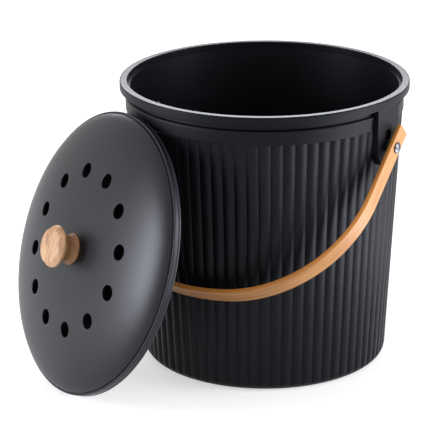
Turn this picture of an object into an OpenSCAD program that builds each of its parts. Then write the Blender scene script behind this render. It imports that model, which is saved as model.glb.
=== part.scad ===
// Countertop compost caddy: a ribbed bucket with a bent-wood carry handle and a loose vented lid.
// Millimetres, +Z up, front is -Y, origin at the centre of the foot on the floor.
// The lid is off and leans on the bucket, and the handle hangs in front.

/* [Bucket] */
// Outer radius of the rim
rim_r = 120; // [112:1:126]
// Height of the bucket
bucket_h = 239; // [225:1:250]
// Radius over the ribs, carried down to the floor
foot_crest_r = 102.1; // [98:0.1:106]
// How far the rim stands out past the ribs
rim_overhang = 4.1; // [3.5:0.1:5]
// Number of ribs around the wall
rib_count = 72; // [60:1:80]
// Depth of the wall's core below the tops of the ribs
rib_depth = 1.9; // [1.6:0.1:2.2]
// Wall thickness of the core
wall_t = 2.4; // [2:0.1:2.6]
// Thickness of the floor
floor_t = 3.5; // [2.5:0.1:5]

/* [Rim and collar] */
// Height of the rim band
rim_band_h = 7; // [6:0.5:8]
// Width of the rim's top face
rim_face_w = 6.3; // [5.5:0.1:6.5]
// Depth of the rim bore, down to its ledge
rim_bore_depth = 5; // [4:0.5:5.5]
// Height of the smooth collar
collar_h = 12.5; // [10:0.5:15]
// How far the collar stands out past the ribs
collar_lift = 0.8; // [0.4:0.1:1.2]
// Height of the rounded groove under the rim band
undercut_h = 5; // [4:0.5:6]

/* [Pivots] */
// Turn of the pivot axis from the X axis
pivot_turn = -32; // [-40:1:-20]
// Height of the rim above the pivot axis
pivot_drop = 41; // [36:1:50]
// How far each ear's flat face is set in from the rim's outside
ear_inset = 2.6; // [2:0.1:3.5]
// Half-width of each ear
ear_half_w = 16.3; // [15:0.1:17]
// Radius of the rivet shanks
rivet_r = 2.5; // [2:0.1:3]

/* [Handle] */
// Width of the wooden strip
strap_w = 15; // [13:0.5:17]
// Thickness of the wooden strip
strap_t = 4; // [3.5:0.1:5]
// Distance from the pivot axis to the outside of the crown
arch_h = 162; // [156:1:170]
// Length of the straight arms below the pivot
arm_len = 49.5; // [45:0.5:55]
// Length of strip above the pivot
strap_tail = 18; // [14:0.5:20]

/* [Lid] */
// How far the flange stops short of the rim's outside
flange_inset = 3.1; // [2:0.1:4]
// Width of the flange around the dome
flange_w = 1.6; // [1.4:0.1:3]
// Thickness of the flange
flange_t = 6.4; // [5:0.1:7]
// Height of the dome above the flange
dome_h = 20.8; // [19:0.1:24]
// Thickness of the dome
dome_t = 3; // [2.5:0.1:3.5]
// Clearance around the lip that drops inside the rim
lip_clear = 2.2; // [1:0.1:2.5]
// Number of vents
vent_count = 12; // [8:1:14]
// Diameter of a vent
vent_d = 12.5; // [10:0.5:14]
// Radius of the ring of vents
vent_ring_r = 65.2; // [60:0.1:68]
// Lean of the lid from upright
lid_lean = 19.25; // [17:0.05:21]
// Direction in which the leaning lid faces
lid_turn = 212; // [205:1:215]
// How far the lid stands to one side of where it faces
lid_slip = -7.6; // [-10:0.1:10]

/* [Filter] */
// Radius of the charcoal filter
filter_r = 82.5; // [78:0.5:85]
// Thickness of the charcoal filter
filter_t = 6.6; // [4:0.1:7]

/* [Knob] */
// Radius of the knob's head
knob_r = 17.3; // [15:0.1:20]
// Height of the knob
knob_h = 21.3; // [19:0.1:25]

/* [Hidden] */

$fn = 96;
eps = 0.01;

// Bucket wall
rib_r = 8;
rib_pitch = 360 / rib_count;
rib_phase = 2.5;
top_crest_r = rim_r - rim_overhang;
taper = atan((top_crest_r - foot_crest_r) / bucket_h);
base_fillet = 8.5;
inner_fillet = 10;
fillet_top = floor_t + inner_fillet;
collar_round = 1.2;
rim_round = 1.4;
rim_bore_r = rim_r - rim_face_w;
rim_z = bucket_h - rim_band_h;
ledge_z = bucket_h - rim_bore_depth;
collar_top = rim_z - undercut_h;
collar_z = collar_top - collar_h;
bead_h = 1;
bead_set_in = 3;
undercut_depth = 2.2;

// Radius over the ribs at a height, of the wall's core, and of its inside
function crest_r(z) = foot_crest_r + (top_crest_r - foot_crest_r) * z / bucket_h;
function core_r(z) = crest_r(z) - rib_depth;
function inner_r(z) = core_r(z) - wall_t;

collar_r = crest_r(collar_z) + collar_lift;
undercut_r = collar_r - undercut_depth;

// Pivot ears, each on a flat seat that follows the wall's taper
pivot_z = bucket_h - pivot_drop;
ear_face = rim_r - ear_inset;
seat_depth = 1.5;
seat_face = crest_r(pivot_z) - seat_depth;
seat_margin = 4.4;
washer_r = 4.2;
washer_t = 3.8;
washer_face = ear_face + washer_t;
strap_gap = 0.3;
strap_in = washer_face + strap_gap;
strap_out = strap_in + strap_t;
strap_bore_r = rivet_r + 0.07;
rivet_head_r = 4.6;
rivet_head_h = 2.4;
rivet_seat = strap_out + strap_gap;
cap_t = 1.8;
cap_r = 6;
swell_h = 1.2;
cap_face = inner_r(pivot_z - cap_r) - 0.2;
screw_z = 9.5;
screw_pocket_r = 5;
screw_pocket_depth = 3;
screw_head_r = 3.4;
screw_r = 1.9;
screw_head_h = 1.4;
screw_bore_end = inner_r(pivot_z + screw_z) + 1.2;
screw_end = screw_bore_end + 0.2;
recess_l = 3.8;
recess_w = 0.8;
recess_depth = 0.7;

// Handle arch: straight arms, two shoulders and a flatter crown, all tangent
crown_half = 11.8;
arch_drop = arch_h - arm_len;
crown_more = (strap_out - arch_drop) / (sin(crown_half) + cos(crown_half) - 1);
shoulder_x = crown_more * sin(crown_half);
shoulder_r = strap_out - shoulder_x;
crown_r = shoulder_r + crown_more;

// Lean at which the hanging crown's back edge is just off the ribs
wall_gap = 1.5;
crown_in = arch_h - strap_t;
half_w = strap_w / 2;
function lean_off(r) = asin((r + wall_gap) / norm([crown_in, half_w])) + atan(half_w / crown_in);
function crown_low(lean) = pivot_z - crown_in * cos(lean) - half_w * sin(lean);
handle_lean = lean_off(crest_r(crown_low(lean_off(crest_r(pivot_z / 2)))));
tail_round = 1.2;

// Lid, built about its own axis with the flange's top at height 0
flange_r = rim_r - flange_inset;
lip_r = rim_bore_r - lip_clear;
dome_r = flange_r - flange_w;
dome_power = 2.2;
dome_fullness = 0.65;
dome_steps = 22;
knob_pad_r = 14;
groove_w = 1.2;
groove_depth = 0.8;
flange_round = 1;
crease_z = -4.2;
crease_w = 0.4;
lip_drop = 8;
lip_w = 2.6;
lip_edge = 0.5;
hollow_set_in = 3;
hollow_low = 1.6;
screw_hole_r = 2.4;
lid_gap = 0.3;

// Filter and its cover
filter_clear = 0.5;
ring_t = 2;
ring_low = 2;
ring_r = filter_r + filter_clear + ring_t;
cover_t = 1.6;
cover_wall_t = 1.8;
cover_z = -3.2;
cover_wall_h = 8.2;
slot_w = 4;
slot_pitch = 12;
slot_first = 14;
cover_spokes = 6;
spoke_w = 6;

// Knob
knob_foot_r = 13;
knob_waist_r = 10.4;
knob_waist_z = 6.2;
knob_head_z = 15.4;
knob_foot_edge = 0.6;
knob_head_lift = 0.4;
knob_round = 2.2;
knob_dome = 1.2;
knob_screw_r = 2.2;
knob_bore_depth = 14.5;
knob_screw_reach = 14;
knob_washer_r = 7;
knob_washer_t = 1.2;
pan_r = 4.5;
pan_h = 2.5;
cross_l = 5.2;
cross_w = 1;
cross_depth = 1;

// Outside of the bucket at a height where the lid may lean
function wall_out(z) = z > rim_z && z < bucket_h ? rim_r : z > collar_z ? collar_r : crest_r(z);

// Centre of the lid's flange, its lower edge just off the floor and its upper edge just off the bucket
lid_z = flange_r * cos(lid_lean) + flange_t * sin(lid_lean) + lid_gap;
function lean_out(r, drop) =
    let (up = sqrt(r * r - lid_slip * lid_slip))
        wall_out(lid_z + up * cos(lid_lean) - drop * sin(lid_lean))
        + lid_gap + drop * cos(lid_lean) + up * sin(lid_lean);
lid_out = max(lean_out(flange_r, flange_t), lean_out(lip_r, lip_drop));

// Points of an arc in an outline
function arc(cx, cy, r, from, to, n = 8) =
    [for (i = [0:n]) let (a = from + (to - from) * i / n) [cx + r * cos(a), cy + r * sin(a)]];

// Height of the dome's outer face over the flange
function dome_z(r) = dome_h * pow(1 - pow(r / dome_r, dome_power), dome_fullness);
pad_z = dome_z(knob_pad_r);

module on_right() { translate([0, 0, pivot_z]) rotate([0, 0, pivot_turn]) children(); }
module on_left() { translate([0, 0, pivot_z]) rotate([0, 0, pivot_turn + 180]) children(); }

// Turns a shape drawn up the Z axis so that it runs outward along the pivot axis
module outward(from) { translate([from, 0, 0]) rotate([90, 0, 90]) children(); }

// Stands a part of the lid in its leaning place
module leaning() {
    rotate([0, 0, lid_turn])
        translate([lid_out, lid_slip, lid_z])
            rotate([0, 90 - lid_lean, 0])
                children();
}

// Wall, floor, collar and rim in one outline
module bucket_wall() {
    rotate_extrude()
        polygon(concat(
            [[0, 0]],
            arc(core_r(base_fillet) - base_fillet, base_fillet, base_fillet, -90, 0),
            [[core_r(collar_z), collar_z]],
            arc(collar_r - collar_round, collar_z + collar_round, collar_round, -90, 0, 4),
            arc(undercut_r, collar_top - undercut_depth, undercut_depth, 0, 90, 8),
            [[undercut_r, rim_z - bead_h], [rim_r - bead_set_in, rim_z - bead_h],
             [rim_r - bead_set_in, rim_z]],
            arc(rim_r - rim_round / 2, rim_z + rim_round / 2, rim_round / 2, -90, 0, 4),
            arc(rim_r - rim_round, bucket_h - rim_round, rim_round, 0, 90, 6),
            arc(rim_bore_r + rim_round / 2, bucket_h - rim_round / 2, rim_round / 2, 90, 180, 4),
            [[rim_bore_r, ledge_z], [inner_r(ledge_z), ledge_z]],
            arc(inner_r(fillet_top) - inner_fillet, fillet_top, inner_fillet, 0, -90),
            [[0, floor_t]]));
}

// Round ribs that follow the wall's taper, cut off at the collar, at the base fillet and inside the wall
module ribs() {
    intersection() {
        for (i = [0:rib_count - 1])
            rotate([0, 0, rib_phase + (i + 0.5) * rib_pitch])
                translate([foot_crest_r - rib_r / cos(taper), 0, 0])
                    rotate([0, taper, 0])
                        cylinder(r = rib_r, h = bucket_h, $fn = 48);
        rotate_extrude()
            polygon(concat(
                [[core_r(0) - base_fillet - 1, 0.6]],
                arc(crest_r(base_fillet) - base_fillet, base_fillet, base_fillet, -68, 0, 6),
                [[crest_r(collar_z + 0.5) + 1, collar_z + 0.5], [core_r(collar_z) - 1, collar_z + 0.5],
                 [core_r(base_fillet) - 1, base_fillet]]));
    }
}

// Outline of an ear, in the plane across the pivot axis
module ear_outline(half_w) {
    circle(r = half_w);
    translate([-half_w, 0]) square([2 * half_w, rim_z - pivot_z]);
}

// The ear's outline drawn out to a distance from the axis, on the plane of its seat
module on_seat(half_w, face) {
    back = seat_face - 5;
    intersection() {
        outward(back) linear_extrude(face - back) ear_outline(half_w);
        translate([seat_face, 0, 0])
            rotate([0, taper, 0])
                translate([0, -rim_r / 2, -rim_r])
                    cube([rim_r / 2, rim_r, 2 * rim_r]);
    }
}

// What each pivot cuts out of the bucket: a flat seat, the rivet's bore and the screw's hole
module pivot_cut() {
    on_seat(ear_half_w + seat_margin, rim_r + 5);
    outward(seat_face - 10) cylinder(r = rivet_r, h = 20);
    translate([0, 0, screw_z]) outward(screw_bore_end) cylinder(r = screw_r, h = 10);
}

module bucket() {
    color([0.13, 0.13, 0.14])
        difference() {
            union() {
                bucket_wall();
                ribs();
            }
            on_right() pivot_cut();
            on_left() pivot_cut();
        }
}

// Moulded pivot ear that fills the gap in the collar, with a sunk place for its screw
module ear() {
    difference() {
        on_seat(ear_half_w, ear_face);
        outward(seat_face - 5) cylinder(r = rivet_r, h = 20);
        translate([0, 0, screw_z]) {
            outward(seat_face - 5) cylinder(r = screw_r, h = 20);
            outward(ear_face - screw_pocket_depth) cylinder(r = screw_pocket_r, h = 5);
        }
    }
}
module right_ear() { color([0.15, 0.15, 0.16]) on_right() ear(); }
module left_ear() { color([0.15, 0.15, 0.16]) on_left() ear(); }

// Round-headed screw with a cross recess
module ear_screw() {
    seat = ear_face - screw_pocket_depth;
    translate([0, 0, screw_z])
        difference() {
            union() {
                outward(screw_end) cylinder(r = screw_r, h = seat + eps - screw_end);
                outward(seat) domed_head(screw_head_r, screw_head_h);
            }
            outward(seat + screw_head_h - recess_depth)
                for (turn = [20, 110])
                    rotate([0, 0, turn])
                        translate([-recess_l / 2, -recess_w / 2, 0]) cube([recess_l, recess_w, 2]);
        }
}
module right_ear_screw() { color([0.6, 0.6, 0.62]) on_right() ear_screw(); }
module left_ear_screw() { color([0.6, 0.6, 0.62]) on_left() ear_screw(); }

// Shallow dome on a short cylinder, as on a rivet or a round-headed screw
module domed_head(r, h) {
    edge = h * 0.35;
    rise = h - edge;
    dome = (r * r + rise * rise) / (2 * rise);
    half = asin(r / dome);
    rotate_extrude()
        polygon(concat([[0, 0], [r, 0]], arc(0, h - dome, dome, 90 - half, 90, 8)));
}

// Rivet through strap, washer, ear and wall, swelled over the cap inside
module rivet() {
    inner_end = cap_face - cap_t - swell_h;
    outward(inner_end) cylinder(r = rivet_r, h = rivet_seat - inner_end + eps);
    outward(rivet_seat) domed_head(rivet_head_r, rivet_head_h);
    outward(inner_end) cylinder(r1 = rivet_r + swell_h / 3, r2 = rivet_r + swell_h, h = swell_h);
}
module right_rivet() { color([0.72, 0.72, 0.74]) on_right() rivet(); }
module left_rivet() { color([0.72, 0.72, 0.74]) on_left() rivet(); }

module ring_disc(r, bore, t) {
    difference() {
        cylinder(r = r, h = t);
        translate([0, 0, -1]) cylinder(r = bore, h = t + 2);
    }
}
module washer() { outward(ear_face) ring_disc(washer_r, rivet_r, washer_face - ear_face); }
module right_washer() { color([0.1, 0.1, 0.1]) on_right() washer(); }
module left_washer() { color([0.1, 0.1, 0.1]) on_left() washer(); }

module rivet_cap() { outward(cap_face - cap_t) ring_disc(cap_r, rivet_r, cap_t); }
module right_rivet_cap() { color([0.72, 0.72, 0.74]) on_right() rivet_cap(); }
module left_rivet_cap() { color([0.72, 0.72, 0.74]) on_left() rivet_cap(); }

// One face of the strip seen along its width, from the right end round to the left
function strap_face(inset) = concat(
    [[strap_out - inset, strap_tail]],
    arc(shoulder_x, -arm_len, shoulder_r - inset, 0, crown_half - 90, 16),
    arc(0, crown_r - arch_h, crown_r - inset, crown_half - 90, -90 - crown_half, 12),
    arc(-shoulder_x, -arm_len, shoulder_r - inset, -90 - crown_half, -180, 16),
    [[inset - strap_out, strap_tail]]);

// What rounds the corners of the strip's end
module tail_cut() {
    flat = half_w - tail_round;
    outward(strap_in - 1)
        linear_extrude(strap_t + 2)
            difference() {
                translate([-half_w - 1, strap_tail - tail_round]) square([strap_w + 2, tail_round + 1]);
                translate([-flat, 0]) square([2 * flat, strap_tail]);
                for (y = [-flat, flat])
                    translate([y, strap_tail - tail_round]) circle(r = tail_round, $fn = 48);
            }
}

module handle_strap() {
    color([0.83, 0.65, 0.44])
        translate([0, 0, pivot_z])
            rotate([0, 0, pivot_turn])
                rotate([-handle_lean, 0, 0])
                    difference() {
                        rotate([90, 0, 0])
                            linear_extrude(strap_w, center = true)
                                polygon(concat(strap_face(0), reversed(strap_face(strap_t))));
                        for (side = [0, 180])
                            rotate([0, 0, side]) {
                                tail_cut();
                                outward(strap_in - 1) cylinder(r = strap_bore_r, h = strap_t + 2);
                            }
                    }
}

// Points along the dome from the knob out to a radius, closer together where it falls faster
function dome_line(to, down) =
    [for (i = [0:dome_steps]) let (r = knob_pad_r + (to - knob_pad_r) * sin(90 * i / dome_steps))
        [r, dome_z(r) - down]];
function reversed(points) = [for (i = [len(points) - 1:-1:0]) points[i]];

// Domed shell with a shadow line, a creased flange and a lip, and a ring inside for the filter
module lid_shell() {
    lip_in = lip_r - lip_w;
    rotate_extrude()
        polygon(concat(
            [[0, pad_z]],
            dome_line(dome_r - groove_w / 2, 0),
            [[dome_r - groove_w / 2, -groove_depth], [dome_r + groove_w / 2, -groove_depth]],
            arc(flange_r - flange_round, -flange_round, flange_round, 90, 0, 6),
            [[flange_r, crease_z + crease_w / 2], [flange_r - crease_w, crease_z],
             [flange_r, crease_z - crease_w / 2]],
            arc(flange_r - flange_round / 2, -flange_t + flange_round / 2, flange_round / 2, 0, -90, 4),
            [[lip_r, -flange_t], [lip_r, -lip_drop + lip_edge], [lip_r - lip_edge, -lip_drop],
             [lip_in, -lip_drop], [lip_in, -hollow_low]],
            reversed(dome_line(lip_in - hollow_set_in, dome_t)),
            [[0, pad_z - dome_t]]));
}

module filter_ring() {
    rotate_extrude()
        polygon([[ring_r - ring_t, ring_low], [ring_r, ring_low],
                 [ring_r, dome_z(ring_r) - dome_t / 2], [ring_r - ring_t, dome_z(ring_r) - dome_t / 2]]);
}

module lid() {
    color([0.14, 0.14, 0.15])
        leaning()
            difference() {
                union() {
                    lid_shell();
                    filter_ring();
                }
                for (i = [0:vent_count - 1])
                    rotate([0, 0, (i + 0.5) * 360 / vent_count])
                        translate([vent_ring_r, 0, 0]) cylinder(d = vent_d, h = dome_h + 5);
                cylinder(r = screw_hole_r, h = dome_h + 5);
            }
}

// Shallow slotted dish that clips over the ring inside the lid and holds the filter
module filter_cover() {
    color([0.16, 0.16, 0.17])
        leaning()
            translate([0, 0, cover_z]) {
                difference() {
                    cylinder(r = ring_r + cover_wall_t, h = cover_t);
                    for (r = [slot_first:slot_pitch:filter_r - slot_w]) cover_slots(r);
                }
                ring_disc(ring_r + cover_wall_t, ring_r, cover_wall_h);
            }
}

// One ring of curved slots, broken by the spokes
module cover_slots(r) {
    difference() {
        translate([0, 0, -1]) ring_disc(r + slot_w / 2, r - slot_w / 2, cover_t + 2);
        for (i = [0:cover_spokes - 1])
            rotate([0, 0, i * 360 / cover_spokes])
                translate([0, -spoke_w / 2, -2]) cube([ring_r, spoke_w, cover_t + 4]);
    }
}

module charcoal_filter() {
    color([0.2, 0.2, 0.2])
        leaning()
            translate([0, 0, cover_z + cover_t])
                cylinder(r = filter_r, h = filter_t);
}

// Turned wooden knob: flared foot, narrow waist and a broad, slightly domed head
module knob() {
    color([0.86, 0.72, 0.54])
        leaning()
            translate([0, 0, pad_z])
                difference() {
                    rotate_extrude() polygon(knob_outline());
                    translate([0, 0, -1]) cylinder(r = knob_screw_r, h = knob_bore_depth + 1);
                }
}

// Radius and height at a turn of the knob's flare, from the waist up to the head
function flare(turn) = [
    knob_waist_r + (knob_r - knob_waist_r) * (1 - cos(turn)),
    knob_waist_z + (knob_head_z - knob_waist_z) * sin(turn)];

function knob_outline() = concat(
    [[0, 0], [knob_foot_r - knob_foot_edge, 0]],
    [for (turn = [0:15:90])
        [knob_foot_r + (knob_waist_r - knob_foot_r) * sin(turn),
         knob_foot_edge + (knob_waist_z - knob_foot_edge) * turn / 90]],
    [for (turn = [10:10:80]) flare(turn)],
    arc(knob_r - knob_round, knob_head_z + knob_head_lift, knob_round, -30, 60, 6),
    [for (u = [0.75, 0.5, 0.25, 0]) [knob_r * u, knob_h - knob_dome * u * u]]);

module knob_screw() {
    under = pad_z - dome_t - knob_washer_t;
    color([0.7, 0.7, 0.72])
        leaning()
            translate([0, 0, under])
                difference() {
                    union() {
                        translate([0, 0, -eps])
                            cylinder(r = knob_screw_r, h = knob_washer_t + dome_t + knob_screw_reach);
                        mirror([0, 0, 1]) domed_head(pan_r, pan_h);
                    }
                    for (turn = [0, 90])
                        rotate([0, 0, turn])
                            translate([-cross_l / 2, -cross_w / 2, -pan_h - 1])
                                cube([cross_l, cross_w, 1 + cross_depth]);
                }
}

module knob_washer() {
    color([0.7, 0.7, 0.72])
        leaning()
            translate([0, 0, pad_z - dome_t - knob_washer_t])
                ring_disc(knob_washer_r, knob_screw_r, knob_washer_t);
}

bucket();
right_ear();
left_ear();
right_ear_screw();
left_ear_screw();
right_rivet();
left_rivet();
right_washer();
left_washer();
right_rivet_cap();
left_rivet_cap();
handle_strap();
lid();
filter_cover();
charcoal_filter();
knob();
knob_screw();
knob_washer();
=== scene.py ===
# %% [markdown]
# # A countertop compost caddy
# The caddy is a ribbed plastic bucket with a bent-wood carry handle. Its domed lid has been
# lifted off and leans against the left of the bucket, so the open rim, the ring of vents and the
# turned knob all show. The rigid frame comes ready made, with every piece in its place. What is
# made here are the surfaces that light plays on most: the dome of the lid with its rounded
# vents, the bent strip, and the turned knob. Everything else keeps its shape and gets its finish.

import bpy
import bmesh
import numpy as np
from mathutils import Matrix, Vector


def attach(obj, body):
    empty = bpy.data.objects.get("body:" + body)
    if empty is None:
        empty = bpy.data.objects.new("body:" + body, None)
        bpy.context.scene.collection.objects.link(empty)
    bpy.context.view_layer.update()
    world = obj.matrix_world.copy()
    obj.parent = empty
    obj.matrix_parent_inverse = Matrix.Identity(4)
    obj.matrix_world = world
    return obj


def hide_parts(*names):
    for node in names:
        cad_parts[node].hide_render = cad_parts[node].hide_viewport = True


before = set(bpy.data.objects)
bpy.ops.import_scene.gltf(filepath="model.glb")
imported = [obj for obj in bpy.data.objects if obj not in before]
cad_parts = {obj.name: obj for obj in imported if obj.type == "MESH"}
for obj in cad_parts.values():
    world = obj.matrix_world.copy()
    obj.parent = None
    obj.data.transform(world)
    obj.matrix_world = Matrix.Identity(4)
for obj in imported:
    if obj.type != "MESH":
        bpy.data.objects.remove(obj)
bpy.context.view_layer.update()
MM = 0.001
print("nodes in the frame:", len(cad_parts))

# %% [markdown]
# ## The camera
# A long lens far from the subject keeps the two ovals of the rim and the lid close to true
# ellipses. The camera stands 2 m from the middle of the bucket's foot, 22 degrees up from the
# floor. It looks down by 19 degrees, with a trace of roll. Angles are in radians. Its focal length
# is given in pixels of a render 430 wide, and the sensor's width turns that into millimetres.

# %% Camera
camera_far = 2.0
camera_up = 0.3878
look_down = 0.3319
look_aside = -0.0226
roll = -0.0081
sensor_mm = 36.0
render_px = 430.0
focal_px = 2319.02
place = camera_far * np.array([0.0, -np.cos(camera_up), np.sin(camera_up)])
forward = np.array([np.sin(look_aside) * np.cos(look_down),
                    np.cos(look_aside) * np.cos(look_down), -np.sin(look_down)])
sideways = np.cross(forward, [0.0, 0.0, 1.0])
sideways /= np.linalg.norm(sideways)
upward = np.cross(sideways, forward)
right = sideways * np.cos(roll) + upward * np.sin(roll)
up = upward * np.cos(roll) - sideways * np.sin(roll)
camera = bpy.data.objects.new("camera", bpy.data.cameras.new("camera"))
bpy.context.collection.objects.link(camera)
camera.matrix_world = Matrix([[right[i], up[i], -forward[i], place[i]] for i in range(3)] + [[0, 0, 0, 1]])
camera.data.sensor_width = sensor_mm
camera.data.lens = sensor_mm * focal_px / render_px
bpy.context.scene.camera = camera
bpy.context.scene.view_settings.view_transform = "Standard"
print(f"lens {camera.data.lens:.1f} mm")

# %% [markdown]
# ## Helpers for materials
# Colours are written as the hex values that a screen shows, and one function turns them into
# the linear light that the renderer adds up. A second function adds a node to a material with
# its settings and its links in one line, so that each material below reads from top to bottom.
# The node that mixes colours has several sockets of one name, so they are reached by their places.

# %% Colour and node helpers
MIX_FACTOR, MIX_UNDER, MIX_OVER, MIX_COLOUR = 0, 6, 7, 2


def linear(hex_colour):
    """sRGB hex to linear RGBA: up to 0.04045 divide by 12.92, above it take ((c + 0.055) / 1.055) ** 2.4."""
    c = np.array([int(hex_colour[i:i + 2], 16) for i in (1, 3, 5)]) / 255.0
    c = np.where(c <= 0.04045, c / 12.92, ((c + 0.055) / 1.055) ** 2.4)
    return (*c.tolist(), 1.0)


def add(tree, kind, settings=None, inputs=None, **links):
    """Adds a node. settings go on the node, inputs are constants for its sockets, and each link names a
    socket, with _ for a space, and the output of another node that feeds it."""
    node = tree.nodes.new(kind)
    for name, value in (settings or {}).items():
        setattr(node, name, value)
    for name, value in (inputs or {}).items():
        node.inputs[name].default_value = value
    for name, source in links.items():
        tree.links.new(source, node.inputs[name.replace("_", " ")])
    return node


def material(name):
    """Makes a material with an output and a Principled shader, and hands back it, its tree and its shader."""
    made = bpy.data.materials.new(name)
    made.use_nodes = True
    made.node_tree.nodes.clear()
    tree = made.node_tree
    shader = add(tree, "ShaderNodeBsdfPrincipled")
    out = add(tree, "ShaderNodeOutputMaterial")
    tree.links.new(shader.outputs["BSDF"], out.inputs["Surface"])
    return made, tree, shader


def finish_node(node_name, made):
    """Gives a node of the frame its material, in place of the plain one it came with."""
    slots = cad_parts[node_name].data.materials
    slots.clear()
    slots.append(made)


print(f"a screen's middle grey, in linear light: {linear('#808080')[0]:.3f}")

# %% [markdown]
# ## Surfaces from grids
# Every new shape below is a grid of points worked out in one go: a function of two numbers, such
# as the distance along a profile and the angle round an axis. Several grids that share an edge
# are put into one mesh, and the points that fall on each other are merged, so that seams and
# poles close. A closed mesh whose faces all point inwards has a volume below 0, and is then
# turned the right way out. The alternative, modelling by hand with edit tools, would lose the
# exact sizes.

# %% Grid helper
merge_within = 0.002


def surface(name, grids, sharp, grain=None):
    """Makes one mesh, in metres, from grids of points in millimetres: each is (rows, columns, 3) and closed
    along its columns. A face runs from a row to the next and on to the next column. All are turned round if
    they point inwards, which the sum of the volumes between each face and the origin tells by its sign.
    Edges that turn by more than sharp degrees stay crisp. grain gives each point its place in the wood,
    kept as an attribute."""
    points, faces, start = [], [], 0
    for grid in grids:
        rows, columns = grid.shape[:2]
        i, j = np.meshgrid(np.arange(rows - 1), np.arange(columns), indexing="ij")
        k = (j + 1) % columns
        faces.append(start + np.stack([i * columns + j, (i + 1) * columns + j,
                                       (i + 1) * columns + k, i * columns + k], -1).reshape(-1, 4))
        points.append(grid.reshape(-1, 3) * MM)
        start += rows * columns
    mesh = bpy.data.meshes.new(name)
    mesh.from_pydata(np.concatenate(points), [], np.concatenate(faces))
    if grain is not None:
        own = mesh.attributes.new("grain", "FLOAT_VECTOR", "POINT")
        own.data.foreach_set("vector", (grain * MM).ravel())
    whole = bmesh.new()
    whole.from_mesh(mesh)
    bmesh.ops.remove_doubles(whole, verts=whole.verts, dist=merge_within * MM)
    if whole.calc_volume(signed=True) < 0:
        bmesh.ops.reverse_faces(whole, faces=whole.faces)
    volume = whole.calc_volume(signed=True)
    whole.to_mesh(mesh)
    whole.free()
    mesh.shade_smooth()
    mesh.set_sharp_from_angle(angle=np.radians(sharp))
    piece = bpy.data.objects.new(name, mesh)
    bpy.context.collection.objects.link(piece)
    print(f"{name}: {len(mesh.vertices)} points, {len(mesh.polygons)} faces, {volume * 1e6:.1f} cubic cm")
    return piece


def revolve(profile, steps=144):
    """Turns a profile of (radius, height) points about the axis: x = r cos a, y = r sin a, z = h."""
    r, h = np.asarray(profile, float).T
    a = np.arange(steps) * 2 * np.pi / steps
    return np.stack([np.outer(r, np.cos(a)), np.outer(r, np.sin(a)), np.outer(h, np.ones(steps))], -1)


def arc(cx, cy, radius, start, end, steps=6):
    """Points of an arc: centre plus the radius times the cosine and sine of the angle, in degrees."""
    a = np.radians(np.linspace(start, end, steps + 1))
    return np.stack([cx + radius * np.cos(a), cy + radius * np.sin(a)], -1)


print("grid of a plain disc, turned:", revolve([[0, 0], [1, 0]]).shape)

# %% [markdown]
# ## Where the lid leans
# The lid is drawn flat, about its own axis, with the top of its flange at height 0. It then tips
# until its lower edge is on the floor and its upper edge is on the bucket's collar. Two turns and
# one shift, worked out from the sizes of lid and collar, carry each of its pieces to that place.
# The collar stands out a little past the crests of the ribs, which lie on a cone. The lid has
# slipped 7.6 mm to one side, and a gap of 0.3 mm is left at the floor and at the collar.

# %% The lid's place
foot_crest_r, top_crest_r, bucket_h = 102.1, 115.9, 239.0
collar_z, collar_lift = 214.5, 0.8
collar_r = foot_crest_r + (top_crest_r - foot_crest_r) * collar_z / bucket_h + collar_lift
flange_r, flange_t = 116.9, 6.4
slip, gap = -7.6, 0.3
lean, turn = np.radians(19.25), np.radians(212.0)
lid_out = collar_r + gap + flange_t * np.cos(lean) + np.sqrt(flange_r ** 2 - slip ** 2) * np.sin(lean)
tip = np.array([[np.sin(lean), 0, np.cos(lean)], [0, 1, 0], [-np.cos(lean), 0, np.sin(lean)]])
swing = np.array([[np.cos(turn), -np.sin(turn), 0], [np.sin(turn), np.cos(turn), 0], [0, 0, 1]])
lid_turn = swing @ tip
lid_centre = swing @ [lid_out, slip, flange_r * np.cos(lean) + flange_t * np.sin(lean) + gap]
print("lid centre, mm:", np.round(lid_centre, 1))


def leaning(points):
    """Carries points from the lid's own axes to where it leans: a turn, then a shift."""
    return points @ lid_turn.T + lid_centre


# %% [markdown]
# ## The dome of the lid
# A moulded lid is a shell of even thickness. Its dome is nearly flat in the middle and falls away
# faster and faster towards the edge, which one formula gives: height times
# (1 - (r / R) ** 2.2) ** 0.65. In the very middle it is level, as a seat for the knob.

# %% Dome
dome_r, dome_h, dome_t, pad_r = 115.3, 20.8, 3.0, 14.0
dome_power, dome_fullness = 2.2, 0.65


def dome_z(r):
    """Height of the dome over the flange: h * (1 - (r / R) ** power) ** fullness, and level on the pad."""
    return dome_h * (1 - (np.maximum(r, pad_r) / dome_r) ** dome_power) ** dome_fullness


def on_dome(radii, drop=0.0):
    """Profile points on the dome, or a drop below it."""
    radii = np.asarray(radii, float)
    return np.stack([radii, dome_z(radii) - drop], -1)


print(f"seat of the knob: {dome_z(pad_r):.2f} mm over the flange")

# %% [markdown]
# ## The vents
# Twelve vents go through the dome. A boolean cut would leave thin slivers that show up in a soft
# highlight, so each vent is a grid of its own: its rows start on the outline of a 30 degree
# sector, close in on the hole, turn over a rounded edge, run down the bore and open out again
# underneath.

# %% Vents
vent_count, vent_r, vent_ring_r, vent_edge = 12, 6.25, 65.2, 0.6
sector_in, sector_out = 54.5, 76.0


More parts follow.
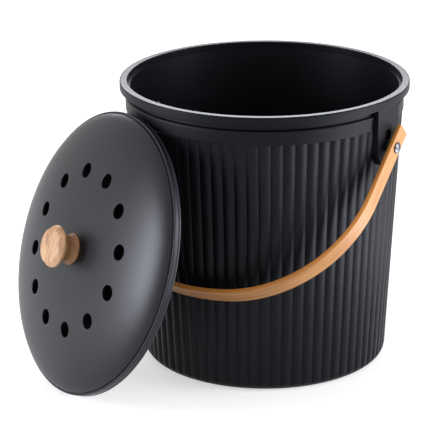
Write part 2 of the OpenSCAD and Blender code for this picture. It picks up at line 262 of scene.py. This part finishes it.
def vents():
    """Twelve sectors with a hole each, as (12, rows, columns, 3). Columns run clockwise round the hole.
    A row lies between outline and hole, at outline * (1 - share) + hole * share. The rounded edge is a
    quarter circle."""
    arc_steps, side_steps, flat_rows, edge_rows, crowding = 12, 10, 9, 5, 0.8
    half = np.pi / vent_count
    sweep = np.linspace(half, -half, arc_steps + 1)[:-1]
    inwards = np.linspace(sector_out, sector_in, side_steps + 1)[:-1]
    outwards = np.linspace(sector_in, sector_out, side_steps + 1)[:-1]
    r = np.concatenate([np.full(arc_steps, sector_out), inwards, np.full(arc_steps, sector_in), outwards])
    a = np.concatenate([sweep, np.full(side_steps, -half), -sweep, np.full(side_steps, half)])
    outline = np.stack([r * np.cos(a), r * np.sin(a)], -1)
    middle = np.array([vent_ring_r, 0.0])
    away = outline - middle
    away /= np.linalg.norm(away, axis=1)[:, None]
    share = np.linspace(0, 1, flat_rows)[:, None, None] ** crowding
    flat = outline * (1 - share) + (middle + away * (vent_r + vent_edge)) * share
    bend = np.radians(np.linspace(0, 90, edge_rows + 1))[1:]
    bore = middle + away * (vent_r + vent_edge * (1 - np.sin(bend[:, None, None])))
    xy = np.concatenate([flat, bore, bore[::-1], flat[::-1]])
    sunk = vent_edge * (1 - np.cos(bend))
    drop = np.concatenate([np.zeros(flat_rows), sunk, dome_t - sunk[::-1], np.full(flat_rows, dome_t)])
    z = dome_z(np.hypot(xy[..., 0], xy[..., 1])) - drop[:, None]
    t = (np.arange(vent_count) + 0.5) * 2 * np.pi / vent_count
    x = np.cos(t)[:, None, None] * xy[..., 0] - np.sin(t)[:, None, None] * xy[..., 1]
    y = np.sin(t)[:, None, None] * xy[..., 0] + np.cos(t)[:, None, None] * xy[..., 1]
    return np.stack([x, y, np.broadcast_to(z, x.shape)], -1)


vent_grids = vents()
print("grids of the vents:", vent_grids.shape)

# %% [markdown]
# ## The lid's shell
# The rest of the lid is round, so it is a profile turned about the lid's axis. A shadow line parts
# dome and flange, a finer crease runs round the flange's side, and a lip below drops inside the
# rim. Under the dome a ring stands down to hold the filter. Three turned grids and the twelve
# vents share their edges, and merging closes them into one shell.

# %% Lid shell
screw_hole_r = 2.4
dome_end_r, dome_end_z = dome_r - 0.75, 0.5
groove_half, groove_depth, groove_soft = 0.6, 0.8, 0.2
flange_round, flange_sunk, flange_edge_z, under_round = 0.9, 0.1, -0.15, 0.6
crease_z, crease_half, crease_depth, crease_soft = -4.2, 0.3, 0.4, 0.1
lip_r, lip_drop, lip_w, lip_edge = 111.5, 8.0, 2.6, 0.5
hollow_set_in, hollow_z = 3.0, -1.6
ring_r, ring_in, ring_z = 85.0, 83.0, 2.0
root_out, root_down, root_in = 0.6, 0.5, 1.0
dome_steps, middle_steps = 34, 12
# Down the groove's inner wall, across its floor and up its outer wall, with softened corners
shadow_line = [
    [dome_r - groove_half, dome_end_z], [dome_r - groove_half, groove_soft - groove_depth],
    [dome_r - groove_half + groove_soft, -groove_depth], [dome_r + groove_half - groove_soft, -groove_depth],
    [dome_r + groove_half, groove_soft - groove_depth], [dome_r + groove_half, flange_edge_z]]
# A shallow V with rounded shoulders, from above it to below it
crease = [
    [flange_r, crease_z + 2 * crease_half], [flange_r, crease_z + crease_half],
    [flange_r - crease_soft, crease_z + crease_half / 2], [flange_r - crease_depth, crease_z],
    [flange_r - crease_soft, crease_z - crease_half / 2], [flange_r, crease_z - crease_half]]
# Down the lip's outer face, round its foot, and up to the hollow of the lid
lip = [
    [lip_r, -flange_t], [lip_r, lip_edge - lip_drop], [lip_r - lip_edge, -lip_drop],
    [lip_r - lip_w, -lip_drop], [lip_r - lip_w, hollow_z]]
# Down the ring's outer face and up its inner one
filter_ring = [
    [ring_r, dome_z(ring_r) - dome_t - root_down], [ring_r, ring_z], [ring_in, ring_z],
    [ring_in, dome_z(ring_in) - dome_t]]
inner = on_dome(np.concatenate([[screw_hole_r, pad_r], np.linspace(pad_r, sector_in, middle_steps)[1:]]))
# The sine packs the dome's points where it falls fastest
falling = np.sin(np.linspace(0, np.pi / 2, dome_steps))
outer = np.concatenate([
    on_dome(sector_out + (dome_end_r - sector_out) * falling), shadow_line,
    arc(flange_r - flange_round, -flange_sunk - flange_round, flange_round, 80, 0), crease,
    arc(flange_r - under_round, under_round - flange_t, under_round, 0, -90, 5), lip,
    on_dome(np.linspace(lip_r - lip_w - hollow_set_in, ring_r + root_out, 9), dome_t), filter_ring,
    on_dome(np.linspace(ring_in - root_in, sector_out, 3), dome_t)])
under = np.concatenate([inner[::-1] - [0, dome_t], inner[:1]])
lid = surface("lid_shell", [leaning(revolve(inner)), leaning(revolve(outer)), leaning(revolve(under)),
                            *leaning(vent_grids)], sharp=50)
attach(lid, "lid_body")
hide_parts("lid")

# %% [markdown]
# ## The knob
# A turned knob is a profile spun in a lathe: a flared foot, a waist, and a broad head whose face
# is very slightly domed. The same is done here with the profile's points. A blind bore in the
# foot takes the screw that holds it from inside the lid.

# %% Knob
knob_r, knob_h, foot_r, waist_r = 17.3, 21.3, 13.0, 10.4
foot_edge, waist_z, head_z = 0.6, 6.2, 15.4
head_lift, head_round, face_dome = 0.4, 2.2, 1.2
knob_bore_r, knob_bore_depth = 2.2, 14.5
foot_turn = np.radians(np.linspace(0, 90, 9))
flare_turn = np.radians(np.linspace(6, 82, 14))
foot = np.stack([foot_r + (waist_r - foot_r) * np.sin(foot_turn),
                 foot_edge + (waist_z - foot_edge) * foot_turn / (np.pi / 2)], -1)
flare = np.stack([waist_r + (knob_r - waist_r) * (1 - np.cos(flare_turn)),
                  waist_z + (head_z - waist_z) * np.sin(flare_turn)], -1)
face = np.linspace(0.84, 0, 10)
knob_profile = np.concatenate([
    [[0, knob_bore_depth], [knob_bore_r, knob_bore_depth], [knob_bore_r, 0], [foot_r - foot_edge, 0]],
    arc(foot_r - foot_edge, foot_edge, foot_edge, -60, -15, 3), foot, flare,
    arc(knob_r - head_round, head_z + head_lift, head_round, -30, 62, 10),
    np.stack([knob_r * face, knob_h - face_dome * face ** 2], -1)])
knob = surface("turned_knob", [leaning(revolve(knob_profile, 72) + [0, 0, dome_z(pad_r)])], sharp=60)
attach(knob, "lid_body")
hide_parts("knob")

# %% [markdown]
# ## The line of the bent strip
# The handle is one strip of wood, steamed and bent round a former: two straight arms, two
# shoulders and a flatter crown. The bend is constant in each stretch of its middle line, so the
# line is made of two straight pieces and three arcs that meet without a kink. It is drawn flat,
# in the plane of the arch, with the pivots at height 0 and the crown below them. The crown turns
# through 11.8 degrees on each side of its middle. The points lie close together near the ends,
# where the strip's outline rounds off.

# %% Line of the strip
strap_w, strap_t, strap_out, arch_h, arm_len, tail = 15.0, 4.0, 125.5, 162.0, 49.5, 18.0
arm_steps, shoulder_steps, crown_steps = 14, 40, 30
middle_t = strap_t / 2
crown_half = 11.8
crown_rad = np.radians(crown_half)
crown_more = (strap_out - arch_h + arm_len) / (np.sin(crown_rad) + np.cos(crown_rad) - 1)
shoulder_x = crown_more * np.sin(crown_rad)
shoulder_r = strap_out - shoulder_x
crown_r = shoulder_r + crown_more


def strip_line():
    """Points and outward directions of the strip's middle line, right end first. On an arc a point is
    centre + radius * (cos a, sin a), and its outward direction is (cos a, sin a)."""
    near_end = np.array([0, 0.05, 0.15, 0.3, 0.5, 0.7, 0.95, 1.2, 2.0, 5, 8, 10])
    arm = np.concatenate([tail - near_end, np.linspace(tail - near_end[-1], -arm_len, arm_steps)[1:-1]])
    line = [np.stack([np.full(len(arm), strap_out - middle_t), arm], -1)]
    out_dir = [np.tile([1.0, 0.0], (len(arm), 1))]
    for cx, cy, radius, start, end, steps in (
            (shoulder_x, -arm_len, shoulder_r, 0, crown_half - 90, shoulder_steps),
            (0, crown_r - arch_h, crown_r, crown_half - 90, -90 - crown_half, crown_steps),
            (-shoulder_x, -arm_len, shoulder_r, -90 - crown_half, -180, shoulder_steps)):
        a = np.radians(np.linspace(start, end, steps + 1)[0 if start == 0 else 1:])
        middle_r = radius - middle_t
        line.append(np.stack([cx + middle_r * np.cos(a), cy + middle_r * np.sin(a)], -1))
        out_dir.append(np.stack([np.cos(a), np.sin(a)], -1))
    line.append(line[0][::-1] * [-1, 1])
    out_dir.append(out_dir[0] * [-1, 1])
    return np.concatenate(line), np.concatenate(out_dir)


line, outward = strip_line()
along = np.concatenate([[0], np.cumsum(np.linalg.norm(np.diff(line, axis=0), axis=1))])
print(f"strip: {along[-1]:.0f} mm along its middle line")

# %% [markdown]
# ## The body of the bent strip
# A rectangle with softened corners is carried along the line. Near each end its half-width and
# half-thickness draw in along a quarter circle, which rounds the edges of the strip's end. The
# strip then leans, turns and rises to where it hangs from its pivots. It has no bores for the
# rivets here: the shanks pass through solid wood, hidden by rivet heads and washers. The grain
# follows the strip, so the piece carries an attribute that holds, for each point, its distance
# along, across and through the strip.

# %% Bent strip
corner, tail_round, corner_steps = 1.1, 1.2, 4
pivot_z, pivot_turn, hang = 198.0, np.radians(-32.0), np.radians(45.99)
from_end = np.minimum(along, along[-1] - along)


def pinch(reach):
    """How far the outline has drawn in, d from the end: reach - sqrt(reach ** 2 - (reach - d) ** 2)."""
    return reach - np.sqrt(np.maximum(reach ** 2 - np.maximum(reach - from_end, 0) ** 2, 0))


def hanging(x, side, height):
    """Carries points from the plane of the arch to the place where it hangs: leaned, turned and raised."""
    y = side * np.cos(hang) + height * np.sin(hang)
    z = height * np.cos(hang) - side * np.sin(hang)
    return np.stack([x * np.cos(pivot_turn) - y * np.sin(pivot_turn),
                     x * np.sin(pivot_turn) + y * np.cos(pivot_turn), z + pivot_z], -1)


half_w = strap_w / 2 - pinch(tail_round)
half_t = middle_t - pinch(corner)
round_corner = np.concatenate([arc(0, 0, 1, a0, a0 + 90, corner_steps) for a0 in (0, 90, 180, 270)])
sign = np.repeat([[1, 1], [-1, 1], [-1, -1], [1, -1]], corner_steps + 1, axis=0)
edge = np.minimum(corner, half_t)[:, None]
across = sign[:, 0] * (half_w[:, None] - edge) + edge * round_corner[:, 0]
through = sign[:, 1] * (half_t[:, None] - edge) + edge * round_corner[:, 1]
flat_x = line[:, :1] + outward[:, :1] * through
flat_z = line[:, 1:] + outward[:, 1:] * through
strip_grid = hanging(flat_x, across, flat_z)
ends = strip_grid[[0, -1]].mean(axis=1, keepdims=True) * np.ones((1, strip_grid.shape[1], 1))
strip_grid = np.concatenate([ends[:1], strip_grid, ends[1:]])
grain = np.stack([np.broadcast_to(along[:, None], across.shape), across, through], -1)
grain = np.concatenate([grain[:1] * [1, 0, 0], grain, grain[-1:] * [1, 0, 0]])
strip = surface("bent_strip", [strip_grid], sharp=40, grain=grain)
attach(strip, "handle_body")
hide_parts("handle_strap")

# %% [markdown]
# ## Black polypropylene
# Bucket and lid are injection-moulded polypropylene, coloured through. The mould was lightly
# etched, which leaves a satin face: it reflects like any plastic, with an IOR near 1.5, but its
# fine grain spreads the highlight. The real grain is about 0.3 mm, and it is drawn here as coarse
# as 0.7 to 0.9 mm so that it shows. The black is never quite even: it drifts over some 45 mm. The
# lid is a little greyer than the bucket, because its face was etched more finely and catches more
# of the light. Carbon black in plastic gives a faintly blue shine, so the shader's specular tint
# holds back some red.

# %% Moulded plastics
drift_mm = 45.45
etch_depth = 0.02
blue_shine = (0.88, 0.91, 1.0)
paler_shine = (0.95, 0.95, 1.0)


def moulded(name, deep, pale, roughness, gloss, grain_mm, shine=blue_shine):
    """Black moulded plastic over fine grain: slow noise carries its black from deep to pale, and its
    roughness by a few hundredths either way."""
    made, tree, shader = material(name)
    shader.inputs["IOR"].default_value = 1.49
    shader.inputs["Specular IOR Level"].default_value = gloss
    shader.inputs["Specular Tint"].default_value = (*shine, 1.0)
    where = add(tree, "ShaderNodeTexCoord")
    drift = add(tree, "ShaderNodeTexNoise", inputs={"Scale": 1.0 / (drift_mm * MM), "Detail": 3.0},
                Vector=where.outputs["Object"])
    tone = add(tree, "ShaderNodeValToRGB", Fac=drift.outputs["Fac"])
    first, last = tone.color_ramp.elements
    first.position, first.color = 0.35, linear(deep)
    last.position, last.color = 0.65, linear(pale)
    rough = add(tree, "ShaderNodeMapRange", inputs={"To Min": roughness - 0.03, "To Max": roughness + 0.03},
                Value=drift.outputs["Fac"])
    fine = add(tree, "ShaderNodeTexNoise", inputs={"Scale": 1.0 / (grain_mm * MM), "Detail": 2.0},
               Vector=where.outputs["Object"])
    bump = add(tree, "ShaderNodeBump", inputs={"Strength": 0.5, "Distance": etch_depth * MM},
               Height=fine.outputs["Fac"])
    tree.links.new(tone.outputs["Color"], shader.inputs["Base Color"])
    tree.links.new(rough.outputs["Result"], shader.inputs["Roughness"])
    tree.links.new(bump.outputs["Normal"], shader.inputs["Normal"])
    return made


bucket_plastic = moulded("satin_black_polypropylene", "#050508", "#08090d", 0.46, 0.16, 0.9)
ear_plastic = moulded("moulded_ear_polypropylene", "#050508", "#08090d", 0.44, 0.16, 0.7)
lid_plastic = moulded("fine_etched_polypropylene", "#0c0e13", "#111319", 0.36, 0.35, 0.7, paler_shine)
cover_plastic = moulded("plain_black_polypropylene", "#060608", "#0a0a0d", 0.35, 0.2, 0.9)
for node_name, made in (("bucket", bucket_plastic), ("right_ear", ear_plastic), ("left_ear", ear_plastic),
                        ("filter_cover", cover_plastic)):
    finish_node(node_name, made)
lid.data.materials.append(lid_plastic)
print("plastics:", bucket_plastic.name, ear_plastic.name, lid_plastic.name, cover_plastic.name)

# %% [markdown]
# ## Smoother crests, with a painted highlight
# Plastic that stands proud is rubbed to a shine by use. On the bucket that is the crests of the ribs, and a
# paler line is painted on them as a highlight. The ribs follow a cone, so the distance from the axis, less
# the cone's own growth with height, tells crest from valley at any height. Shine and highlight are patchy,
# over some 12 mm. They start 0.45 mm inside the crests, and the collar, a little further out, has none.

# %% Smoother crests and painted highlight
crest_starts, crest_full = -0.45, -0.05
collar_starts, collar_full = 0.1, 0.4
patch_mm = 12.5


def blend_finish_and_painted_light(made, mask, colour=None, roughness=None):
    """Blends a painted-highlight colour, a new roughness, or both into a material: plain * (1 - mask) + new *
    mask.
    mask(tree) gives the output to follow."""
    tree = made.node_tree
    shader = next(n for n in tree.nodes if n.type == "BSDF_PRINCIPLED")
    blend_mask = mask(tree)
    if colour is not None:
        blend = add(tree, "ShaderNodeMix", {"data_type": "RGBA"})
        blend.inputs[MIX_OVER].default_value = linear(colour)
        tree.links.new(blend_mask, blend.inputs[MIX_FACTOR])
        tree.links.new(shader.inputs["Base Color"].links[0].from_socket, blend.inputs[MIX_UNDER])
        tree.links.new(blend.outputs[MIX_COLOUR], shader.inputs["Base Color"])
    if roughness is not None:
        blend = add(tree, "ShaderNodeMix", inputs={"B": roughness}, Factor=blend_mask,
                    A=shader.inputs["Roughness"].links[0].from_socket)
        tree.links.new(blend.outputs["Result"], shader.inputs["Roughness"])


def rib_crests(tree):
    """1 on the crests of the ribs, broken up by noise, and 0 in the valleys, on the collar and on the rim.
    The measure is the distance from the axis less growth * height, which is foot_crest_r on any crest."""
    where = add(tree, "ShaderNodeTexCoord")
    parts = add(tree, "ShaderNodeSeparateXYZ", Vector=where.outputs["Object"])
    flat = add(tree, "ShaderNodeCombineXYZ", X=parts.outputs["X"], Y=parts.outputs["Y"])
    from_axis = add(tree, "ShaderNodeVectorMath", {"operation": "LENGTH"})
    tree.links.new(flat.outputs["Vector"], from_axis.inputs[0])
    growth = add(tree, "ShaderNodeMath", {"operation": "MULTIPLY"})
    growth.inputs[1].default_value = (top_crest_r - foot_crest_r) / bucket_h
    tree.links.new(parts.outputs["Z"], growth.inputs[0])
    measure = add(tree, "ShaderNodeMath", {"operation": "SUBTRACT"})
    tree.links.new(from_axis.outputs["Value"], measure.inputs[0])
    tree.links.new(growth.outputs["Value"], measure.inputs[1])
    proud = add(tree, "ShaderNodeMapRange", inputs={
        "From Min": (foot_crest_r + crest_starts) * MM, "From Max": (foot_crest_r + crest_full) * MM},
        Value=measure.outputs["Value"])
    not_collar = add(tree, "ShaderNodeMapRange", inputs={
        "From Min": (foot_crest_r + collar_starts) * MM, "From Max": (foot_crest_r + collar_full) * MM,
        "To Min": 1.0, "To Max": 0.0}, Value=measure.outputs["Value"])
    patchy = add(tree, "ShaderNodeTexNoise", inputs={"Scale": 1.0 / (patch_mm * MM), "Detail": 3.0},
                 Vector=where.outputs["Object"])
    wear_and_highlight = add(tree, "ShaderNodeMapRange", inputs={"From Min": 0.35, "From Max": 0.75},
               Value=patchy.outputs["Fac"])
    total = proud.outputs["Result"]
    for more in (not_collar, wear_and_highlight):
        both = add(tree, "ShaderNodeMath", {"operation": "MULTIPLY"})
        tree.links.new(total, both.inputs[0])
        tree.links.new(more.outputs["Result"], both.inputs[1])
        total = both.outputs["Value"]
    return total


# Painted highlight: a paler line on the crests of the ribs, which are also made smoother
blend_finish_and_painted_light(bucket_plastic, rib_crests, "#141519", 0.42)
print("worn crests on:", bucket_plastic.name)

# %% [markdown]
# ## A smooth rim and painted highlights on edges
# The flat top of the rim was shaped by the polished half of the mould, and is smoother than the wall. It is
# found by its height. A highlight is painted as a paler colour on the edges of the lid and its vents. They
# have no height or radius in common, so they are found by how sharply the surface turns there.

# %% Rim and edges
polished_h = 0.8


def rim_top(tree):
    """Rises from 0 to 1 over the top 0.8 mm of the rim."""
    where = add(tree, "ShaderNodeTexCoord")
    parts = add(tree, "ShaderNodeSeparateXYZ", Vector=where.outputs["Object"])
    top = add(tree, "ShaderNodeMapRange", inputs={
        "From Min": (bucket_h - polished_h) * MM, "From Max": bucket_h * MM}, Value=parts.outputs["Z"])
    return top.outputs["Result"]


def edge_highlight_mask(tree):
    """1 where the surface turns sharply outwards, where a highlight is painted: vent rims and the edge of the
    flange. 0.5 is flat.
    """
    bend = add(tree, "ShaderNodeNewGeometry")
    turned = add(tree, "ShaderNodeMapRange", inputs={"From Min": 0.51, "From Max": 0.58},
                 Value=bend.outputs["Pointiness"])
    return turned.outputs["Result"]


blend_finish_and_painted_light(bucket_plastic, rim_top, roughness=0.2)
# Painted highlight: a paler colour on the edges of the lid and its vents
blend_finish_and_painted_light(lid_plastic, edge_highlight_mask, "#3a3d46")
print("smooth rim on:", bucket_plastic.name, "and pale edges on:", lid_plastic.name)

# %% [markdown]
# ## The wood of the strip
# The strip is a light hardwood, oiled to a warm tan. Its fibres run along the strip, so the pattern reads the
# strip's own distances: noise that is stretched forty times along the length gives streaks about 1 mm wide,
# with finer ones among them where the pores are. The two narrow sides lie in shade, and painted light makes
# them a brighter, warmer orange.

# %% Oiled strip
streak_mm, stretch, pore_depth = 1.11, 40.0, 0.1
side_starts, side_full = 0.5, 0.1


def bent_wood():
    """Oiled hardwood strip: streaks along the fibres, shallow pores, painted light that makes the sides a
    warmer orange, and a satin coat smoothed by use. The streaks are noise at (along / stretch, across,
    through)."""
    made, tree, shader = material("oiled_bent_beech")
    own = add(tree, "ShaderNodeAttribute", {"attribute_type": "GEOMETRY", "attribute_name": "grain"})
    fibres = add(tree, "ShaderNodeMapping", inputs={"Scale": (1.0 / stretch, 1.0, 1.0)},
                 Vector=own.outputs["Vector"])
    streaks = add(tree, "ShaderNodeTexNoise", inputs={
        "Scale": 1.0 / (streak_mm * MM), "Detail": 4.0, "Roughness": 0.6}, Vector=fibres.outputs["Vector"])
    tone = add(tree, "ShaderNodeValToRGB", Fac=streaks.outputs["Fac"])
    first, last = tone.color_ramp.elements
    first.position, first.color = 0.34, linear("#9a6635")
    last.position, last.color = 0.62, linear("#c08a54")
    parts = add(tree, "ShaderNodeSeparateXYZ", Vector=own.outputs["Vector"])
    off_middle = add(tree, "ShaderNodeMath", {"operation": "ABSOLUTE"})
    tree.links.new(parts.outputs["Y"], off_middle.inputs[0])
    # Painted light: the two narrow sides are lifted to a brighter, warmer orange
    painted_side_light = add(tree, "ShaderNodeMapRange", inputs={
        "From Min": (strap_w / 2 - side_starts) * MM, "From Max": (strap_w / 2 - side_full) * MM,
        "To Max": 0.8}, Value=off_middle.outputs["Value"])
    sides = add(tree, "ShaderNodeMix", {"data_type": "RGBA"})
    sides.inputs[MIX_OVER].default_value = linear("#d98a3a")
    tree.links.new(painted_side_light.outputs["Result"], sides.inputs[MIX_FACTOR])
    tree.links.new(tone.outputs["Color"], sides.inputs[MIX_UNDER])
    tree.links.new(sides.outputs[MIX_COLOUR], shader.inputs["Base Color"])
    bump = add(tree, "ShaderNodeBump", inputs={"Strength": 0.3, "Distance": pore_depth * MM},
               Height=streaks.outputs["Fac"])
    tree.links.new(bump.outputs["Normal"], shader.inputs["Normal"])
    shader.inputs["Roughness"].default_value = 0.45
    shader.inputs["Specular IOR Level"].default_value = 0.4
    return made


strip.data.materials.append(bent_wood())
print("wood of the strip:", strip.data.materials[0].name)

# %% [markdown]
# ## The wood of the knob
# The knob is turned from a paler block, whose rings lie askew to the knob's axis and show as broad curved
# bands about 6 mm apart. Foot and waist are painted darker than the head, as painted shade where the head
# shadows them. Height along the knob's own axis tells them apart: it is the dot product of a point with the
# axis, less that of the seat.

# %% Turned knob
band_mm = 5.88
dark_below, clear_above = 8.0, 15.0


def turned_wood():
    """Pale turned hardwood: soft rings and fine pores, with painted shade that darkens foot and waist:
    colour * tint below, colour above."""
    made, tree, shader = material("turned_beech")
    where = add(tree, "ShaderNodeTexCoord")
    askew = add(tree, "ShaderNodeMapping", inputs={"Rotation": (0.5, 0.9, 0.3), "Scale": (1.0, 1.0, 0.15)},
                Vector=where.outputs["Object"])
    rings = add(tree, "ShaderNodeTexNoise", inputs={
        "Scale": 1.0 / (band_mm * MM), "Detail": 5.0, "Roughness": 0.6, "Distortion": 0.9},
        Vector=askew.outputs["Vector"])
    tone = add(tree, "ShaderNodeValToRGB", Fac=rings.outputs["Fac"])
    first, last = tone.color_ramp.elements
    first.position, first.color = 0.34, linear("#9a6f4c")
    last.position, last.color = 0.62, linear("#c9a27d")
    tone.color_ramp.elements.new(0.44).color = linear("#b88c66")
    height = add(tree, "ShaderNodeVectorMath", {"operation": "DOT_PRODUCT"})
    height.inputs[1].default_value = lid_turn[:, 2]
    tree.links.new(where.outputs["Object"], height.inputs[0])
    seat = (lid_centre @ lid_turn[:, 2] + dome_z(pad_r)) * MM
    low = add(tree, "ShaderNodeMapRange", inputs={
        "From Min": seat + dark_below * MM, "From Max": seat + clear_above * MM,
        "To Min": 1.0, "To Max": 0.0}, Value=height.outputs["Value"])
    # Painted shade: foot and waist darkened where the head shadows them
    painted_shade = add(tree, "ShaderNodeMix", {"data_type": "RGBA", "blend_type": "MULTIPLY"})
    painted_shade.inputs[MIX_OVER].default_value = linear("#d8c6b0")
    tree.links.new(low.outputs["Result"], painted_shade.inputs[MIX_FACTOR])
    tree.links.new(tone.outputs["Color"], painted_shade.inputs[MIX_UNDER])
    tree.links.new(painted_shade.outputs[MIX_COLOUR], shader.inputs["Base Color"])
    shader.inputs["Roughness"].default_value = 0.5
    return made


knob.data.materials.append(turned_wood())
print("wood of the knob:", knob.data.materials[0].name)

# %% [markdown]
# ## Small fittings
# Rivets, caps, screws and the knob's washer are nickel-plated steel, with blotches of some
# 2.5 mm in how polished it is. The washers under the strip are black rubber. The filter is a felt
# pad full of charcoal dust, so it is dull, dark and slightly fuzzy. Grit and fibres finer than a
# millimetre would not show, so they are drawn 1.1 to 1.4 mm across.

# %% Fittings
blotch_mm = 2.5


def plated():
    """Nickel-plated steel: a metal with a little spread, and faint blotches in how polished it is."""
    made, tree, shader = material("nickel_plated_steel")
    where = add(tree, "ShaderNodeTexCoord")
    blotch = add(tree, "ShaderNodeTexNoise", inputs={"Scale": 1.0 / (blotch_mm * MM), "Detail": 2.0},
                 Vector=where.outputs["Object"])
    rough = add(tree, "ShaderNodeMapRange", inputs={"To Min": 0.22, "To Max": 0.36},
                Value=blotch.outputs["Fac"])
    tree.links.new(rough.outputs["Result"], shader.inputs["Roughness"])
    shader.inputs["Base Color"].default_value = linear("#5c5c60")
    shader.inputs["Metallic"].default_value = 1.0
    return made


def fuzzy(name, colour, fibre_mm, relief_mm):
    """Dull dark stuff, felt or rubber: all roughness, with a bump at the size of its fibres or grit."""
    made, tree, shader = material(name)
    where = add(tree, "ShaderNodeTexCoord")
    fibres = add(tree, "ShaderNodeTexNoise", inputs={"Scale": 1.0 / (fibre_mm * MM), "Detail": 5.0},
                 Vector=where.outputs["Object"])
    bump = add(tree, "ShaderNodeBump", inputs={"Strength": 0.8, "Distance": relief_mm * MM},
               Height=fibres.outputs["Fac"])
    tree.links.new(bump.outputs["Normal"], shader.inputs["Normal"])
    shader.inputs["Base Color"].default_value = linear(colour)
    shader.inputs["Roughness"].default_value = 0.9
    return made


steel = plated()
rubber = fuzzy("black_rubber", "#151515", 1.11, 0.03)
felt = fuzzy("charcoal_felt", "#1a1a1a", 1.43, 0.4)
for node_name in ("right_ear_screw", "left_ear_screw", "right_rivet", "left_rivet", "right_rivet_cap",
                  "left_rivet_cap", "knob_screw", "knob_washer"):
    finish_node(node_name, steel)
for node_name in ("right_washer", "left_washer"):
    finish_node(node_name, rubber)
finish_node("charcoal_filter", felt)
print("fittings:", steel.name, rubber.name, felt.name)

# %% [markdown]
# ## Floor and room
# The floor is plain and pale. Part of its brightness is its own, shown only to the camera, to
# reflections and through clear things, so that it reads as white without more light falling on
# the caddy, and it still takes the soft shadow. The same rays see a white room all round, and
# every other ray sees it dimmer.

# %% Floor and room
floor_half, floor_glow = 6.0, 0.56
room_light, room_white = 0.58, 1.0


def seen(tree):
    """1 for the rays that show a background, and 0 for the rest: camera, glossy and transmission rays,
    added up and held at 1."""
    path = add(tree, "ShaderNodeLightPath")
    total = path.outputs["Is Camera Ray"]
    for name in ("Is Glossy Ray", "Is Transmission Ray"):
        more = add(tree, "ShaderNodeMath", {"operation": "ADD", "use_clamp": True})
        tree.links.new(total, more.inputs[0])
        tree.links.new(path.outputs[name], more.inputs[1])
        total = more.outputs[0]
    return total


corners = [(x * floor_half, y * floor_half, 0) for x, y in ((-1, -1), (1, -1), (1, 1), (-1, 1))]
floor_mesh = bpy.data.meshes.new("floor")
floor_mesh.from_pydata(corners, [], [(0, 1, 2, 3)])
floor = bpy.data.objects.new("floor", floor_mesh)
bpy.context.collection.objects.link(floor)
white, tree, shader = material("pale_floor")
shader.inputs["Base Color"].default_value = linear("#d9d9d9")
shader.inputs["Roughness"].default_value = 0.8
shader.inputs["Specular IOR Level"].default_value = 0.0
shader.inputs["Emission Color"].default_value = (1, 1, 1, 1)
glow = add(tree, "ShaderNodeMapRange", inputs={"To Min": 0.0, "To Max": floor_glow}, Value=seen(tree))
tree.links.new(glow.outputs["Result"], shader.inputs["Emission Strength"])
floor_mesh.materials.append(white)

world = bpy.data.worlds.new("studio")
world.use_nodes = True
world.node_tree.nodes.clear()
air = world.node_tree
brightness = add(air, "ShaderNodeMapRange", inputs={"To Min": room_light, "To Max": room_white},
                 Value=seen(air))
sky = add(air, "ShaderNodeBackground", inputs={"Color": (1, 1, 1, 1)}, Strength=brightness.outputs["Result"])
add(air, "ShaderNodeOutputWorld", Surface=sky.outputs["Background"])
bpy.context.scene.world = world
print("floor and room:", floor.name, world.name)

# %% [markdown]
# ## Lamps
# Black plastic has little colour of its own, so what models it is the shine: a low softbox on the
# right draws the long lights on the ribs, a small panel lying on the table beside it lights the
# lid's flank, a softbox on the left lights the dome of the lid, and a strip behind draws the ring
# of the rim. The lamps are a little cool, as daylight tubes are. Places, aims and sizes are in
# metres.

# %% Lamps
daylight = (0.91, 0.93, 1.0)


def lamp(name, place_at, aim, size, watts):
    """A flat soft lamp at a place, turned to face a point."""
    light = bpy.data.lights.new(name, "AREA")
    light.shape, light.size, light.size_y, light.energy = "RECTANGLE", size[0], size[1], watts
    light.color = daylight
    lamp_object = bpy.data.objects.new(name, light)
    bpy.context.collection.objects.link(lamp_object)
    facing = Vector(aim) - Vector(place_at)
    lamp_object.rotation_euler = facing.to_track_quat("-Z", "Y").to_euler()
    lamp_object.location = place_at
    lamp_object.visible_camera = False


lamp("right_softbox", (1.25, -0.25, 0.42), (0, 0, 0.12), (0.6, 0.8), 15)
lamp("right_table_panel", (0.4, -0.19, 0.01), (0.39, -0.19, 0.4), (0.4, 0.26), 2.7)
lamp("left_softbox", (-1.42, -0.42, 0.46), (-0.1, -0.1, 0.13), (0.42, 0.7), 17)
lamp("back_strip", (0.0, 1.7, 0.93), (0, 0, 0.22), (2.2, 0.3), 16)
